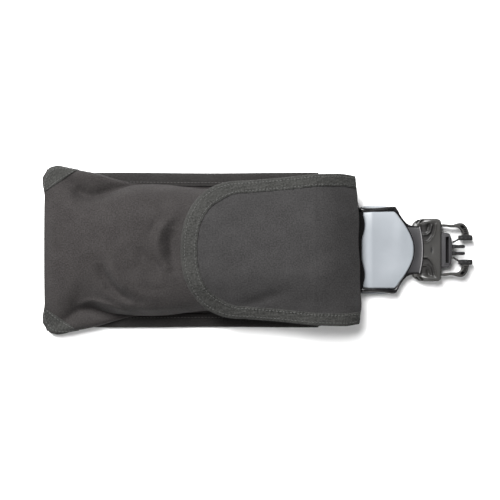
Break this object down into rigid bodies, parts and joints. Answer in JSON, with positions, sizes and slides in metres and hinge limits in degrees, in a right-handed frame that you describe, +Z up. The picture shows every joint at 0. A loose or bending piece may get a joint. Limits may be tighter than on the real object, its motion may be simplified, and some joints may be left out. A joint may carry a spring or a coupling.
{
  "type": "diver's quick-release weight pocket",
  "caption": "Nylon pouch for lead weights with a bound fold-over flap, a pull handle with a moulded grip and a male release buckle whose latch arms draw in when the handle is pulled.",
  "frame": {"origin": "on the surface that the pocket lies on, under the middle of its bounding box", "axes": "+X along the pocket from its closed end to the buckle, +Y across it, +Z up from the back panel through the front panel and the flap"},
  "size_m": [0.339, 0.1328, 0.0398],
  "materials": {
    "pouch_nylon": "dark grey woven nylon, matte",
    "pouch_back": "darker grey woven nylon, matte",
    "flap_nylon": "dark grey woven nylon, matte",
    "binding_tape": "ribbed grey-green tape, matte",
    "hook_and_loop": "black hook-and-loop pile",
    "webbing": "black woven webbing",
    "lead": null,
    "handle_black": "black moulded plastic, satin gloss",
    "grip_grey": "light blue-grey moulded elastomer, smooth",
    "buckle_black": "dark grey acetal, satin"
  },
  "bodies": {
    "pouch": {"back_panel": "pouch_back", "upper_hem": "pouch_back", "lower_hem": "pouch_back", "front_panel": "pouch_nylon", "upper_gusset": "pouch_nylon", "lower_gusset": "pouch_nylon", "end_gusset": "pouch_nylon", "upper_corner_patch": "binding_tape", "lower_corner_patch": "binding_tape", "mouth_binding": "binding_tape", "loop_patch": "hook_and_loop", "lead_weight_inner": "lead", "lead_weight_outer": "lead", "pivot_webbing": "webbing", "flap_base": "flap_nylon"},
    "flap_root": {"flap_hinge_strip": "flap_nylon"},
    "flap": {"flap_panel": "flap_nylon", "flap_binding": "binding_tape", "hook_patch": "hook_and_loop"},
    "handle": {"handle_frame": "handle_black", "front_grip": "grip_grey", "back_grip": "grip_grey", "slider_bar": "buckle_black", "slider_head": "buckle_black", "upper_guide_pin": "buckle_black", "lower_guide_pin": "buckle_black"},
    "buckle": {"buckle_body": "buckle_black"},
    "upper_latch": {"upper_latch_arm": "buckle_black", "upper_strut": "buckle_black"},
    "lower_latch": {"lower_latch_arm": "buckle_black", "lower_strut": "buckle_black"}
  },
  "joints": [
    {"name": "mouth_fold", "type": "hinge", "parent": "pouch", "child": "flap_root", "pos_m": [0.075, 0, 0.0125], "axis": [0, 1, 0], "range_deg": [0, 45]},
    {"name": "flap_fold", "type": "hinge", "parent": "flap_root", "child": "flap", "pos_m": [0.075, 0, 0.0375], "axis": [0, 1, 0], "range_deg": [0, 115]},
    {"name": "handle_pivot", "type": "hinge", "parent": "pouch", "child": "handle", "pos_m": [0.0735, 0, 0.0062], "axis": [0, -1, 0], "range_deg": [0, 10]},
    {"name": "release_slide", "type": "slide", "parent": "handle", "child": "buckle", "axis": [1, 0, 0], "range_m": [0, 0.002], "stiffness_N_per_m": 3000},
    {"name": "upper_latch_swing", "type": "hinge", "parent": "buckle", "child": "upper_latch", "pos_m": [0.1424, 0.0191, 0.0062], "axis": [0, 0, -1], "range_deg": [0, 7.1]},
    {"name": "lower_latch_swing", "type": "hinge", "parent": "buckle", "child": "lower_latch", "pos_m": [0.1424, -0.0191, 0.0062], "axis": [0, 0, 1], "range_deg": [0, 7.1]}
  ],
  "couplings": [
    {"joint": "upper_latch_swing", "follows": "release_slide", "rad_per_m": 61},
    {"joint": "lower_latch_swing", "follows": "release_slide", "rad_per_m": 61}
  ]
}
